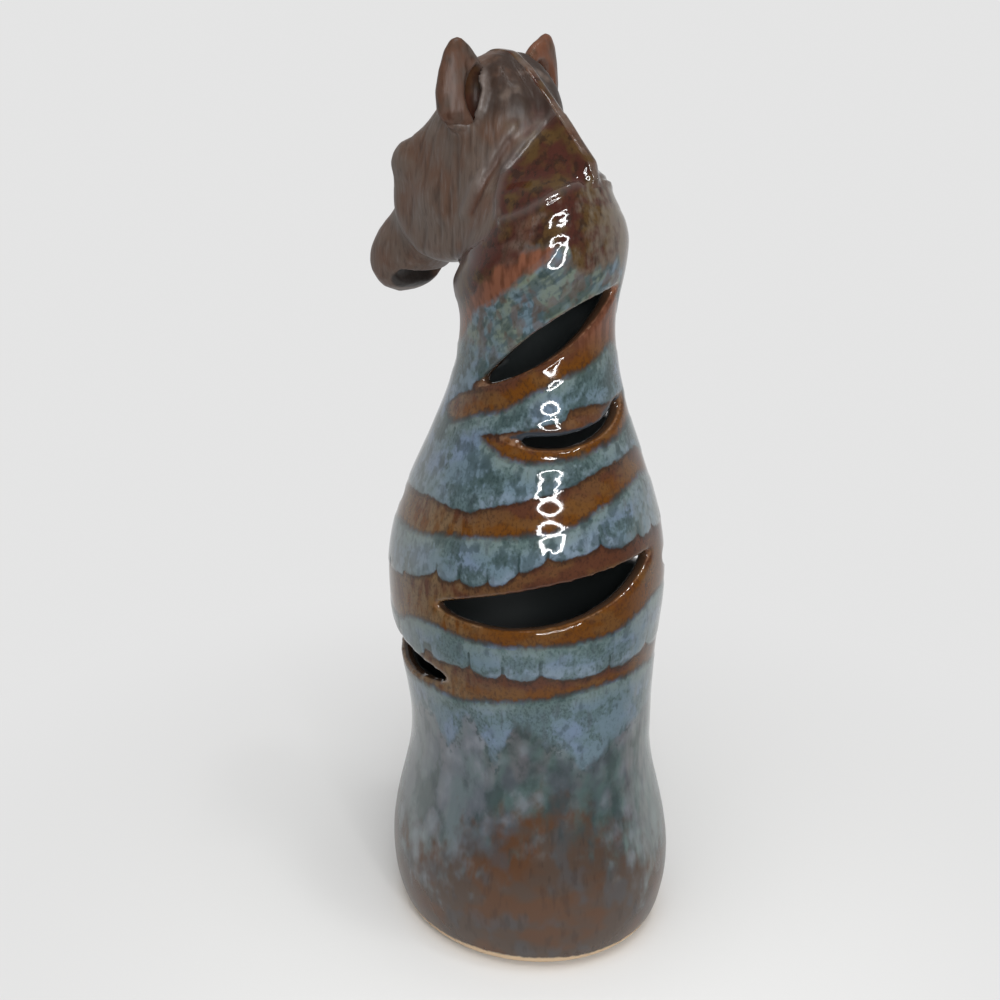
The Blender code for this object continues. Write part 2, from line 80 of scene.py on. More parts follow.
# The brown bands: angle, lower edge and upper edge at each stop. A band is absent where they cross.
BANDS = {
    "belly": ((-150, 0.1035, 0.1125), (-90, 0.1, 0.108), (-40, 0.102, 0.11), (-8, 0.1053, 0.1117),
              (14, 0.105, 0.1095), (44, 0.1018, 0.1093), (62, 0.1, 0.109), (80, 0.0978, 0.1104),
              (104, 0.0988, 0.1085), (128, 0.096, 0.112), (172, 0.103, 0.113)),
    "flank": ((-160, 0.12, 0.128), (-118, 0.123, 0.132), (-70, 0.123, 0.141), (-20, 0.131, 0.152),
              (14, 0.1232, 0.152), (44, 0.1216, 0.1487), (59, 0.1213, 0.142), (69, 0.1215, 0.1403),
              (88, 0.1232, 0.14), (99, 0.1225, 0.1375), (112, 0.118, 0.1345), (160, 0.121, 0.129)),
    "shoulder": ((-142, 0.143, 0.153), (-118, 0.15, 0.158), (-60, 0.16, 0.167),
                 (-20, 0.17, 0.1783), (12, 0.1653, 0.1758), (32, 0.1598, 0.1717), (66, 0.156, 0.1654),
                 (80, 0.1548, 0.1624), (100, 0.1515, 0.163), (134, 0.149, 0.161),
                 (176, 0.1415, 0.159)),
    "nape": ((-124, 0.183, 0.1815), (-112, 0.1805, 0.1845), (-82, 0.178, 0.1895), (-46, 0.186, 0.191),
             (-31, 0.187, 0.1945), (-17, 0.1855, 0.1953), (-3, 0.1833, 0.1945), (10, 0.182, 0.1952),
             (27, 0.18, 0.1943), (31, 0.1799, 0.1895), (50, 0.1789, 0.1875), (64, 0.18, 0.187),
             (78, 0.184, 0.186), (84, 0.186, 0.184)),
    "neck_low": ((-135, 0.195, 0.193), (-112, 0.1945, 0.202), (-76, 0.1985, 0.211),
                 (-40, 0.208, 0.219), (-15, 0.212, 0.2285), (9, 0.2073, 0.222), (31, 0.2041, 0.2162),
                 (51, 0.1993, 0.2109), (70, 0.1936, 0.2058), (85, 0.1913, 0.1998), (108, 0.1866, 0.1955),
                 (118, 0.189, 0.191), (126, 0.191, 0.188)),
    "throat": ((-164, 0.194, 0.202), (-152, 0.199, 0.197), (128, 0.205, 0.203), (140, 0.199, 0.208),
               (170, 0.194, 0.207)),
    "collar": ((-122, 0.211, 0.224), (-90, 0.226, 0.236), (-60, 0.238, 0.244), (-48, 0.244, 0.242),
               (34, 0.247, 0.246), (43, 0.2428, 0.2458), (56, 0.2373, 0.2443), (69, 0.2315, 0.242),
               (84, 0.2266, 0.2368), (97, 0.223, 0.2295), (122, 0.211, 0.224), (170, 0.209, 0.22)),
}
# Angles of the cracks between the blue lobes over two of the bands, where they show best, the widths of
# the other lobes in degrees, and how far the brown climbs between two lobes.
LOBE_CRACKS = {"flank": (107, 87, 76, 64, 52), "belly": (90, 71, 57, 42, 12)}
LOBE_WIDTHS = (9, 26)
LOBE_RISE = 0.003
CRACK_LENGTHS = (0.0015, 0.006)
CRACK_DEPTH = 0.0001
# Where the brown foot ends, where the brown nape begins, and the lower edge of the blue, by angle.
FOOT_BROWN = ((-150, 0.04), (-60, 0.036), (-10, 0.032), (17, 0.05), (39, 0.058), (61, 0.05), (83, 0.038),
              (107, 0.03), (150, 0.046))
NAPE_BROWN = ((-120, 0.226), (-60, 0.232), (0, 0.238), (20, 0.236), (34, 0.244), (43, 0.245),
              (56, 0.2425), (69, 0.2392), (84, 0.2342), (97, 0.2272), (122, 0.221), (160, 0.2195))
CURTAIN = ((-160, 0.088), (-120, 0.08), (-80, 0.09), (-50, 0.078), (-25, 0.088), (0, 0.086),
           (24, 0.0765), (34, 0.085), (54, 0.0925), (64, 0.0795), (75, 0.093), (88, 0.0795), (100, 0.09),
           (125, 0.082))
GLAZE_THICKNESS = 0.00022
# Ripples of the thrower's thumb on the side that is seen first: height, and how far the wall stands out.
RIPPLES = ((0.15, 0), (0.1605, -0.0002), (0.166, 0.0002), (0.1725, -0.0002), (0.1765, 0.0001),
           (0.181, -0.0003), (0.1875, 0.0003), (0.195, -0.0004), (0.206, 0.0004), (0.218, 0),
           (0.226, 0), (0.2362, 0.0006), (0.2446, -0.0003), (0.25, -0.0003), (0.256, 0))
RIPPLE_SIDE = 45
UNEVEN_SIZES = (0.016, 0.016, 0.01)
UNEVEN_HEIGHT = 0.00012
DIMPLE_SIZE = 0.0075
DIMPLE_HEIGHT = 0.00005
BODY_VOXEL = 0.00106
BODY_FACES = 190000
# A roll of glaze that has run down inside the upper lip of one stripe: the shares of the stripe that it
# spans, its radius as a share of the opening, how deep it lies, and its least radius.
ROLL_STRIPE = "nape_left"
ROLL_SPAN = (0.06, 0.97)
ROLL_SHARE = 0.28
ROLL_DEPTH = 0.002
ROLL_LEAST = 0.001
LIP_SOFTENING = 0.001
FOOT_TURN = 0.004
# How far the joint with the head is rubbed in, round this angle.
RIM_ROUNDING = 0.0022
RIM_ROUNDING_ANGLE = -35


def eased(value, stops):
    """Smooth curve through stops (place, size): level at each one, half a cosine wave between."""
    places, sizes = np.array(stops, float).T
    after = np.clip(np.searchsorted(places, value), 1, len(places) - 1)
    share = np.clip((value - places[after - 1]) / (places[after] - places[after - 1]), 0, 1)
    return sizes[after - 1] + (sizes[after] - sizes[after - 1]) * (0.5 - 0.5 * np.cos(np.pi * share))


def all_round(angle, stops):
    """A closed curve round the body through stops (angle, size), level at its peaks."""
    angles, sizes = np.array(stops, float).T
    angles = np.concatenate((angles - 360, angles, angles + 360))
    sizes = np.tile(sizes, 3)
    steps = np.diff(sizes) / np.diff(angles)
    before, following = steps[:-1], steps[1:]
    climbs = before * following > 0
    slopes = np.where(climbs, 2 * before * following / np.where(climbs, before + following, 1), 0)
    slopes = np.concatenate(((0,), slopes, (0,)))
    after = np.clip(np.searchsorted(angles, angle), 1, len(angles) - 1)
    span = angles[after] - angles[after - 1]
    share = (angle - angles[after - 1]) / span
    rest = 1 - share
    return (sizes[after - 1] * (1 + 2 * share) * rest ** 2 + sizes[after] * (3 - 2 * share) * share ** 2
            + span * share * rest * (slopes[after - 1] * rest - slopes[after] * share))


def wall_radius(height):
    """Outer radius of the wall: an elliptic foot, then the turned profile."""
    foot = np.sqrt(np.clip(1 - (1 - height / HIP_HEIGHT) ** 2, 0, 1))
    rounded = FOOT_RADIUS + (PROFILE[0][1] - FOOT_RADIUS) * foot
    return np.where(height < HIP_HEIGHT, rounded, eased(height, PROFILE))


def on_wall(radius, angle, height):
    """A point of the body, by its radius, its angle from the back and its height."""
    return Vector((radius * WIDTH_SHARE * math.sin(angle),
                   AXIS_BACK + radius * DEPTH_SHARE * math.cos(angle) + eased(height, SWAY), height))


def rim_height(y):
    return RIM_HEIGHT + RIM_SLOPE * (y - AXIS_BACK - NAPE_SWAY)


def stripe_share(angle, stripe):
    """How far along a stripe an angle is: 0 at its first end, 1 at its last."""
    first, last = stripe[:2]
    turned = (angle - (first + last) / 2 + 180) % 360 - 180
    return 0.5 + turned / (last - first)


def stripe_angle(share, stripe):
    first, last = stripe[:2]
    return math.radians(first + (last - first) * share)


def stripe_edges(share, stripe):
    start, end, rise, drop = stripe[2:6]
    swell = np.sin(np.pi * np.clip(share, 0, 1)) ** 0.8
    height = start + (end - start) * np.clip(share, 0, 1)
    half_tip = STRIPE_TIP / 2
    return height - half_tip - drop * swell, height + half_tip + rise * swell


def spun_section(bm, section, steps):
    """A closed section (radius, height), spun round the axis, swayed, and tilted towards the rim."""
    verts = [bm.verts.new((radius, 0, height)) for radius, height in section]
    edges = [bm.edges.new(pair) for pair in zip(verts, verts[1:] + verts[:1])]
    before = set(bm.verts) - set(verts)
    bmesh.ops.spin(bm, geom=verts + edges, axis=(0, 0, 1), cent=(0, 0, 0), angle=2 * math.pi,
                   steps=steps, use_merge=True)
    turned = [vert for vert in bm.verts if vert not in before]
    for vert in turned:
        height = vert.co.z
        vert.co = on_wall(math.hypot(vert.co.x, vert.co.y), math.atan2(vert.co.x, vert.co.y), height)
        if height > NECK_HEIGHT:
            share = (height - NECK_HEIGHT) / (RIM_HEIGHT - NECK_HEIGHT)
            vert.co.z = NECK_HEIGHT + share * (rim_height(vert.co.y) - NECK_HEIGHT)
    bmesh.ops.remove_doubles(bm, verts=turned, dist=1e-6)
    bmesh.ops.recalc_face_normals(bm, faces=bm.faces[:])


def turned_wall():
    outer = [(float(wall_radius(height)), height) for height in np.linspace(0, RIM_HEIGHT, 150)]
    inner_foot = FOOT_RADIUS - FOOT_RIM_WIDTH
    inner = [(min(float(wall_radius(height)) - WALL, inner_foot + height), height)
             for height in np.linspace(0, RIM_HEIGHT, 60)]
    bm = bmesh.new()
    spun_section(bm, outer[::-1] + inner, 144)
    return bm


def stripe_plugs():
    """The knife's cuts: lens-shaped plugs across the wall."""
    bm = bmesh.new()
    for stripe in STRIPES.values():
        made = bmesh.ops.create_grid(bm, x_segments=40, y_segments=1, size=1)
        outer = {}
        for vert in made["verts"]:
            share = (vert.co.x + 1) / 2
            low, high = stripe_edges(share, stripe)
            outer[vert] = (stripe_angle(share, stripe), float(high if vert.co.y > 0 else low))
        places = {tuple(vert.co): place for vert, place in outer.items()}
        faces = {face for vert in outer for face in vert.link_faces}
        pulled = bmesh.ops.extrude_face_region(bm, geom=list(faces))
        for vert in [item for item in pulled["geom"] if isinstance(item, bmesh.types.BMVert)]:
            angle, height = places[tuple(vert.co)]
            vert.co = on_wall(float(wall_radius(height)) - 2 * WALL, angle, height)
        for vert, (angle, height) in outer.items():
            vert.co = on_wall(float(wall_radius(height)) + WALL, angle, height)
    bmesh.ops.recalc_face_normals(bm, faces=bm.faces[:])
    return bm


def new_object(name, bm):
    mesh = bpy.data.meshes.new(name)
    bm.to_mesh(mesh)
    bm.free()
    made = bpy.data.objects.new(name, mesh)
    scene.collection.objects.link(made)
    return made


def finished_mesh(obj):
    """The mesh of an object after its modifiers."""
    return bpy.data.meshes.new_from_object(obj.evaluated_get(bpy.context.evaluated_depsgraph_get()))


def cut_through(bm, plugs):
    """The form less the plugs."""
    form = new_object("form", bm)
    knife = new_object("knife", plugs)
    cut = form.modifiers.new("cut", "BOOLEAN")
    cut.object = knife
    cut.solver = "MANIFOLD"
    left = bmesh.new()
    left.from_mesh(finished_mesh(form))
    for spent in (form, knife):
        bpy.data.objects.remove(spent)
    return left


def add_roll(bm):
    """Beads of glaze in a row, which the skin joins into one roll: gives their places and radii."""
    stripe = STRIPES[ROLL_STRIPE]
    beads = []
    for share in np.linspace(*ROLL_SPAN, 48):
        low, high = stripe_edges(share, stripe)
        radius = max(ROLL_SHARE * float(high - low), ROLL_LEAST)
        sag = 1.2 - 0.8 * float(ramp(share, 0.72, 0.82))
        height = float(high) - sag * radius
        place = on_wall(float(wall_radius(height)) - ROLL_DEPTH, stripe_angle(share, stripe), height)
        bmesh.ops.create_icosphere(bm, subdivisions=2, radius=radius, matrix=Matrix.Translation(place))
        beads.append((place, radius))
    return beads


def clay_skin(name, bm, voxel, passes):
    """One smooth skin round all the given forms: an even net of faces, rubbed a few times."""
    rough = new_object(name + "_rough", bm)
    remesh = rough.modifiers.new("skin", "REMESH")
    remesh.mode = "VOXEL"
    remesh.voxel_size = voxel
    rub = rough.modifiers.new("rub", "SMOOTH")
    rub.factor = 0.5
    rub.iterations = passes
    made = bpy.data.objects.new(name, finished_mesh(rough))
    made.data.name = name
    made.data.materials.clear()
    made.data.shade_smooth()
    bpy.data.objects.remove(rough)
    scene.collection.objects.link(made)
    return made


def soften(obj, where, passes):
    """Rubs part of an object smooth."""
    bm = bmesh.new()
    bm.from_mesh(obj.data)
    bm.verts.ensure_lookup_table()
    chosen = [bm.verts[index] for index in np.flatnonzero(where)]
    for _ in range(passes):
        bmesh.ops.smooth_vert(bm, verts=chosen, factor=0.5,
                              use_axis_x=True, use_axis_y=True, use_axis_z=True)
    bm.to_mesh(obj.data)
    bm.free()


def thin_out(obj, unseen, faces):
    """Fewer faces where they hardly show, down to about as many triangles as asked for."""
    group = obj.vertex_groups.new(name="unseen")
    group.add(np.flatnonzero(unseen).tolist(), 1.0, "REPLACE")
    thin = obj.modifiers.new("thin", "DECIMATE")
    thin.ratio = min(1.0, faces / (2 * len(obj.data.polygons)))
    thin.vertex_group = group.name
    mesh = finished_mesh(obj)
    obj.modifiers.clear()
    obj.vertex_groups.clear()
    obj.data = mesh


def vertex_values(obj, what="co"):
    """All places, or all normals, of an object's vertices."""
    values = np.empty(3 * len(obj.data.vertices), np.float32)
    obj.data.vertices.foreach_get(what, values)
    return values.reshape(-1, 3).astype(float)


def set_places(obj, places):
    obj.data.vertices.foreach_set("co", places.astype(np.float32).ravel())
    obj.data.update()


def move_out(obj, amount):
    """Moves each vertex along its normal."""
    set_places(obj, vertex_values(obj) + vertex_values(obj, "normal") * amount[:, None])


def move_in(obj, amount):
    """Moves each vertex towards the axis of the neck."""
    spots = vertex_values(obj)
    outward = spots * (1, 1, 0) - (0, AXIS_BACK + NAPE_SWAY, 0)
    set_places(obj, spots - outward * (amount / np.linalg.norm(outward, axis=1))[:, None])


def keep_values(obj, name, values):
    """Stores a value for each vertex, which the glaze reads."""
    obj.data.attributes.new(name, "FLOAT", "POINT").data.foreach_set("value", values.astype(np.float32))


def lumps(places, sizes, seed):
    """Smooth unevenness from about -1 to 1."""
    shift = Vector((seed, 2 * seed, 3 * seed))
    return np.array([noise.noise(Vector(place) + shift) for place in places / sizes])


def ramp(value, low, high):
    share = np.clip((value - low) / (high - low), 0, 1)
    return share * share * (3 - 2 * share)


def body_places(spots):
    """For each place its height before the rim was tilted, its angle and its depth in the wall."""
    above = spots[:, 2] - NECK_HEIGHT
    tilted = above * (RIM_HEIGHT - NECK_HEIGHT) / (rim_height(spots[:, 1]) - NECK_HEIGHT)
    level = np.where(above > 0, NECK_HEIGHT + tilted, spots[:, 2])
    sideways = spots[:, 0] / WIDTH_SHARE
    backward = (spots[:, 1] - AXIS_BACK - eased(level, SWAY)) / DEPTH_SHARE
    depth = wall_radius(level) - np.hypot(sideways, backward)
    return level, np.degrees(np.arctan2(sideways, backward)), depth


def rim_rounding(level, angle):
    """How far the joint with the head is rubbed in behind."""
    reach = ramp(level, RIM_HEIGHT - 0.006, RIM_HEIGHT + 0.001)
    reach *= ramp(level, RIM_HEIGHT + 0.01, RIM_HEIGHT + 0.004)
    return RIM_ROUNDING * reach * ramp(np.abs(angle - RIM_ROUNDING_ANGLE), 62, 42)


def lobes(angle, seen, seed):
    """How far the blue draws up beside a crack, the distance to that crack, and the crack's length."""
    draw = random.Random(seed)
    cracks = list(seen)
    while cracks[-1] > seen[0] - 360 + LOBE_WIDTHS[0]:
        cracks.append(cracks[-1] - draw.uniform(*LOBE_WIDTHS))
    cracks = np.array(cracks[::-1])
    lengths = np.array([draw.uniform(*CRACK_LENGTHS) for crack in cracks])
    turned = seen[0] - (seen[0] - angle) % 360
    index = np.clip(np.searchsorted(cracks, turned, side="right") - 1, 0, len(cracks) - 2)
    half = (cracks[index + 1] - cracks[index]) / 2
    across = np.clip((turned - cracks[index]) / half - 1, -1, 1)
    drawn_up = 1 - np.sqrt(1 - np.abs(across) ** 3)
    beside = (1 - np.abs(across)) * np.radians(half) * BELLY_RADIUS
    return drawn_up, beside, lengths[np.where(across > 0, index + 1, index)]


pot = cut_through(turned_wall(), stripe_plugs())
beads = add_roll(pot)
body = clay_skin("body_shell_glazed", pot, BODY_VOXEL, 6)
thin_out(body, body_places(vertex_values(body))[2] > 0.7 * WALL, BODY_FACES)
body.data.shade_smooth()
spots = vertex_values(body)
level, angle = body_places(spots)[:2]
height = spots[:, 2]
far = np.ones(len(spots))
brown = -far
crack = nearest_cut = under = over = far
lower_lip = share_up = 0 * far
for number, (band, stops) in enumerate(BANDS.items()):
    low = all_round(angle, [(stop[0], stop[1]) for stop in stops])
    top = all_round(angle, [(stop[0], stop[2]) for stop in stops])
    present = top - low > 0.0008
    if band in LOBE_CRACKS:
        drawn_up, beside, crack_length = lobes(angle, LOBE_CRACKS[band], number)
        top = top + LOBE_RISE * drawn_up
        reach = np.where(height > top - LOBE_RISE, np.maximum(beside, height - top - crack_length), 1)
        crack = np.minimum(crack, reach)
    here = np.minimum(top - height, height - low)
    share_up = np.where(here > brown, (height - low) / np.maximum(top - low, 0.001), share_up)
    brown = np.maximum(brown, here)
    under = np.where(present & (height < low), np.minimum(under, low - height), under)
    over = np.where(present & (height > top), np.minimum(over, height - top), over)
for stripe in STRIPES.values():
    share = stripe_share(angle, stripe)
    low, high = stripe_edges(share, stripe)
    past_end = np.maximum(np.abs(share - 0.5) - 0.5, 0) * abs(np.radians(stripe[1] - stripe[0]))
    past_edge = np.maximum(np.maximum(height - high, low - height), 0)
    away = np.hypot(past_edge, past_end * wall_radius(level))
    upper = ramp(height - (low + high) / 2, -0.002, 0.002)
    lower_lip = np.where(away < nearest_cut, 1 - upper, lower_lip)
    nearest_cut = np.minimum(nearest_cut, away)
    brown_above, brown_below = stripe[6:]
    brown = np.maximum(brown, brown_below + (brown_above - brown_below) * upper - away)
# The wet finger rubs the lips of the cuts, and leaves the wall true, apart from the thrower's ripples.
soften(body, nearest_cut < LIP_SOFTENING, 8)
spots = vertex_values(body)
depth = body_places(spots)[2]
true = ramp(np.abs(depth), 0.0011, 0.0006) * ramp(nearest_cut, 0.0005, 0.002)
true *= (level > FOOT_TURN) & (level < RIM_HEIGHT - 0.001)
across = spots - np.column_stack((np.zeros(len(spots)), AXIS_BACK + eased(level, SWAY), height))
across[:, 2] = 0
stretch = wall_radius(level) / (wall_radius(level) - depth)
set_places(body, spots + across * ((stretch - 1) * true)[:, None])
outside = ramp(depth, 0.0022, 0.0006)
blue = ramp(-brown, 0, 0.0014)
relief = GLAZE_THICKNESS * blue - CRACK_DEPTH * ramp(crack, 0.0008, 0.0002)
relief += UNEVEN_HEIGHT * lumps(spots, UNEVEN_SIZES, 1) + DIMPLE_HEIGHT * lumps(spots, DIMPLE_SIZE, 2)
relief += eased(height, RIPPLES) * ramp(np.abs(angle - RIPPLE_SIDE), 80, 35)
move_out(body, relief * outside * ramp(height, 0, FOOT_TURN))
move_in(body, rim_rounding(level, angle) * outside)
distances = {
    "blue_mm": -brown,
    "crack_mm": crack,
    "slit_mm": nearest_cut,
    "under_mm": under,
    "over_mm": over,
    "depth_mm": np.where(level > RIM_HEIGHT - 0.003, 0, depth),
    "roll_mm": np.min([np.linalg.norm(spots - place, axis=1) - size for place, size in beads], axis=0),
    "foot_mm": height - all_round(angle, FOOT_BROWN),
    "nape_mm": height - all_round(angle, NAPE_BROWN),
    "curtain_mm": height - all_round(angle, CURTAIN),
}
for name, values in distances.items():
    keep_values(body, name, values * 1000)
keep_values(body, "share_up", share_up)
keep_values(body, "lower_lip", lower_lip)


class Wire:
    """A socket of a material. Sums on wires add Math nodes, and node() adds any other node."""

    def __init__(self, tree, socket=None):
        self.tree = tree
        self.socket = socket

    def node(self, kind, inputs=(), settings=(), output=0):
        made = self.tree.nodes.new("ShaderNode" + kind)
        for key, value in dict(settings).items():
            setattr(made, key, value)
        for key, value in dict(inputs).items():
            if isinstance(value, Wire):
                self.tree.links.new(value.socket, made.inputs[key])
            else:
                made.inputs[key].default_value = value
        return Wire(self.tree, made.outputs[output])

    def sum(self, operation, first, second):
        return self.node("Math", {0: first, 1: second}, {"operation": operation})

    def __add__(self, other):
        return self.sum("ADD", self, other)

    def __sub__(self, other):
        return self.sum("SUBTRACT", self, other)

    def __rsub__(self, other):
        return self.sum("SUBTRACT", other, self)

    def __mul__(self, other):
        return self.sum("MULTIPLY", self, other)

    __radd__ = __add__
    __rmul__ = __mul__

    def step(self, low, high):
        """0 up to low, 1 from high on, smooth between. A low above the high turns it round."""
        return self.node("MapRange", {"Value": self, "From Min": low, "From Max": high},
                         {"interpolation_type": "SMOOTHSTEP"})

    def mix(self, first, second):
        """The first colour where this is 0 and the second where it is 1."""
        return self.node("Mix", {0: self, 6: first, 7: second}, {"data_type": "RGBA"}, 2)

    def __getitem__(self, name):
        """A value that was kept for each vertex."""
        return self.node("Attribute", settings={"attribute_name": name}, output="Fac")

    def scaled(self, sizes, shift=0.0, turn=(0, 0, 0)):
        """The surface's own place, in steps of the given sizes in millimetres, after a turn."""
        here = self.node("TexCoord", output="Object")
        if any(turn):
            here = self.node("Mapping", {"Vector": here, "Rotation": turn})
        steps = tuple(1000 / size for size in sizes)
        return self.node("Mapping", {"Vector": here, "Location": (shift, shift, shift), "Scale": steps})

    def cloud(self, sizes, shift, turn=(0, 0, 0), detail=2.0):
        """Soft noise from 0 to 1, with spots of the given sizes."""
        place = self.scaled(sizes, shift, turn)
        return self.node("TexNoise", {"Vector": place, "Scale": 1.0, "Detail": detail})

    def drops(self, sizes, shift):
        """Distance from the middle of the nearest of many drops of about the given sizes."""
        return self.node("TexVoronoi", {"Vector": self.scaled(sizes, shift), "Scale": 1.0},
                         {"feature": "SMOOTH_F1"})

    def dot(self, way):
        """How far this vector reaches along the given way."""
        return self.node("VectorMath", {0: self, 1: tuple(way)}, {"operation": "DOT_PRODUCT"}, "Value")

    def feed(self, shader, name):
        self.tree.links.new(self.socket, shader.inputs[name])

    def bump(self, shader, strength, distance=0.0004):
        """Dents a shader's surface by this height."""
        made = self.node("Bump", {"Height": self, "Strength": strength, "Distance": distance})
        made.feed(shader, "Normal")


def coated(colour, *coats):
    """A colour under coats, each with the share of it that shows and its own colour."""
    for share, tint in coats:
        colour = share.mix(colour, tint)
    return colour


def linear(red, green, blue):
    """A colour as the eye names it, from 0 to 255, in the renderer's linear numbers."""
    shares = np.array((red, green, blue)) / 255
    bent = np.where(shares < 0.04045, shares / 12.92, ((shares + 0.055) / 1.055) ** 2.4)
    return (*bent.tolist(), 1.0)


def new_glaze(obj, name):
    """A material with one shader on an object: gives the shader and a wire to work with."""
    made = bpy.data.materials.new(name)
    made.use_nodes = True
    obj.data.materials.append(made)
    shader = made.node_tree.nodes["Principled BSDF"]
    shader.inputs["IOR"].default_value = GLAZE_IOR
    return shader, Wire(made.node_tree)


GLAZE_IOR = 1.52
GREY_BROWN = linear(88, 74, 65)
WARM_BROWN = linear(86, 62, 48)
LILAC_GREY = linear(104, 96, 92)
STONE_GREY_AND_SHEEN = linear(112, 104, 92)
OX_RED = linear(62, 32, 25)
OLIVE = linear(72, 53, 28)
DARK_BROWN = linear(38, 25, 18)


def brown_glaze(wire, warm, dark):
    """Brown glaze over clay: thin and grey on what stands out, red and amber where it pools."""
    threads = wire.cloud((1.3, 1.3, 7), 12)
    pooled = coated(
        wire.cloud((7, 7, 7), 13).step(0.42, 0.62).mix(OX_RED, OLIVE),
        (0.7 * wire.cloud((2.5, 2.5, 3.5), 14).step(0.5, 0.66), DARK_BROWN))
    return coated(
        wire.cloud((11, 11, 14), 11).step(0.4, 0.62).mix(GREY_BROWN, WARM_BROWN),
        (0.4 * threads.step(0.52, 0.72), LILAC_GREY),
        (0.35 * threads.step(0.46, 0.3), DARK_BROWN),
        (warm, pooled),
        (dark, DARK_BROWN))


# Level ways out of the figure: behind its left shoulder, and behind its right shoulder.
LEFT_BACK = Vector((math.sqrt(0.5), math.sqrt(0.5), 0))
RIGHT_BACK = Vector((-math.sqrt(0.5), math.sqrt(0.5), 0))


def across_body(wire):
    """How far a place lies towards the right back, in millimetres from the body's axis."""
    return wire.scaled((1, 1, 1)).dot(RIGHT_BACK) - 1000 * AXIS_BACK * RIGHT_BACK.y


def glaze_clouds(wire):
    """The fine specks, the streaks and the curds of the glaze."""
    return (wire.cloud((0.8, 0.8, 1.1), 2), wire.cloud((2.6, 2.6, 9), 1),
            wire.cloud((1.8, 1.8, 2.4), 2.4, detail=4))


def nape_glaze(wire):
    """The glaze on both sides of the joint: red, olive and brown, and stone grey to the right, which is
    partly the glaze and partly a painted reflection of the bright room along that side.
    """
    fine, streaks, curds = glaze_clouds(wire)
    warm = wire.cloud((12, 12, 9), 8.5).step(0.3, 0.48)
    # Partly glaze and partly painted reflection: paler stone grey towards the right side of the body.
    pale = (across_body(wire) + 34 * (streaks - 0.5) + 16 * (curds - 0.5)).step(11, 27)
    return coated(brown_glaze(wire, warm, 0.35 * fine.step(0.5, 0.66)), (0.62 * pale, STONE_GREY_AND_SHEEN))


STEEL_BLUE = linear(90, 108, 119)
PERIWINKLE = linear(96, 112, 132)
PALE_BLUE = linear(114, 128, 134)
GREY_GREEN = linear(99, 113, 108)
DARK_TEAL = linear(36, 50, 50)
TEAL_GREEN = linear(69, 87, 86)
NECK_GREEN = linear(98, 106, 90)
EDGE_REFLECTION_GREY = linear(136, 143, 140)
PALE_LILAC = linear(114, 119, 127)
SLATE = linear(62, 69, 75)
MAUVE = linear(90, 85, 89)
AMBER = linear(90, 52, 10)
TAN = linear(94, 68, 38)
KHAKI = linear(114, 96, 70)
RED_BROWN = linear(74, 43, 28)
RUST = linear(108, 68, 50)
FOOT_CLAY = linear(69, 54, 44)
FOOT_ORANGE = linear(78, 50, 29)
LIP_TAN_AND_HIGHLIGHT = linear(150, 118, 92)
BARE_CLAY = linear(206, 180, 148)
CUT_BROWN = linear(58, 42, 31)
INSIDE = linear(44, 50, 51)
ROLL_DARK = linear(44, 50, 57)

# Turns the way along the longest cut upright, so that a pattern can follow it.
NECK_SLANT = tuple(Vector((-0.57, 0.57, 0.6)).rotation_difference(Vector((0, 0, 1))).to_euler())

shader, wire = new_glaze(body, "reactive_glaze")
rise = wire.node("SeparateXYZ", {0: wire.scaled((1, 1, 1))}, output=2)
sideways = across_body(wire)
fine, streaks, curds = glaze_clouds(wire)
slanted = wire.cloud((2.6, 2.6, 13), 1.5, NECK_SLANT)
patches = wire.cloud((14, 14, 10), 3)
blotches = wire.cloud((5, 5, 7), 4)
streaky = streaks - 0.5
curdy = curds - 0.5
blotchy = blotches - 0.5
edge = wire["blue_mm"] + 1.8 * blotchy + 1.6 * streaky + 0.9 * (fine - 0.5)
on_neck = rise.step(206, 214)
hard = edge.step(-0.35, 0.55)
soft = (edge + 2.5 * curdy).step(-1.6, 1.5)
blue_part = hard + wire["share_up"].step(0.65, 0.35) * (soft - hard)
blue_part = blue_part + on_neck * ((edge + 5 * (slanted - 0.5)).step(-2, 1.6) - blue_part)

# The blue: greener where it thins out below a band, bluer in the lobes, and dark where it has curdled.
thick = (wire["over_mm"] + 5 * blotchy).step(9, 2)
thin = (wire["under_mm"] + 7 * blotchy).step(7.5, 0.5)
curdled = blotches.step(0.53, 0.66) * wire.cloud((17, 17, 17), 7).step(0.42, 0.6)
between_cells = wire.drops((9, 9, 8), 2.3) + 0.7 * curdy
mottled = (blotches + 0.5 * curdy).step(0.46, 0.6) * rise.step(128, 146)
outline = (edge + 2.4 * curdy).step(1.3, 0.1) * blotches.step(0.4, 0.6)
cracked = (wire["crack_mm"] + 1.6 * curdy).step(0.9, 0.1)
shaded_neck = (rise + 14 * blotchy).step(203, 216)
neck_colour = coated(
    wire.cloud((9, 9, 9), 7.5).step(0.4, 0.6).mix(NECK_GREEN, STEEL_BLUE),
    (0.7 * slanted.step(0.44, 0.62), DARK_TEAL),
    (0.55 * curds.step(0.52, 0.64), DARK_TEAL),
    (0.6 * wire.cloud((4, 4, 6), 7.7).step(0.48, 0.6), WARM_BROWN))
blue = coated(
    patches.step(0.42, 0.58).mix(STEEL_BLUE, PERIWINKLE),
    (0.45 * thick * patches.step(0.4, 0.6), PALE_BLUE),
    (0.75 * thin, GREY_GREEN),
    (0.55 * curdled, DARK_TEAL),
    (0.7 * between_cells.step(0.38, 0.62), TEAL_GREEN),
    (0.35 * between_cells.step(0.44, 0.66) * fine.step(0.4, 0.64), DARK_TEAL),
    (0.45 * streaks.step(0.56, 0.72), SLATE),
    (0.28 * fine.step(0.52, 0.7), DARK_TEAL),
    (0.5 * mottled, DARK_TEAL),
    (0.6 * outline * rise.step(214, 206), DARK_TEAL),
    (0.9 * cracked, DARK_TEAL),
    (0.8 * shaded_neck, neck_colour))

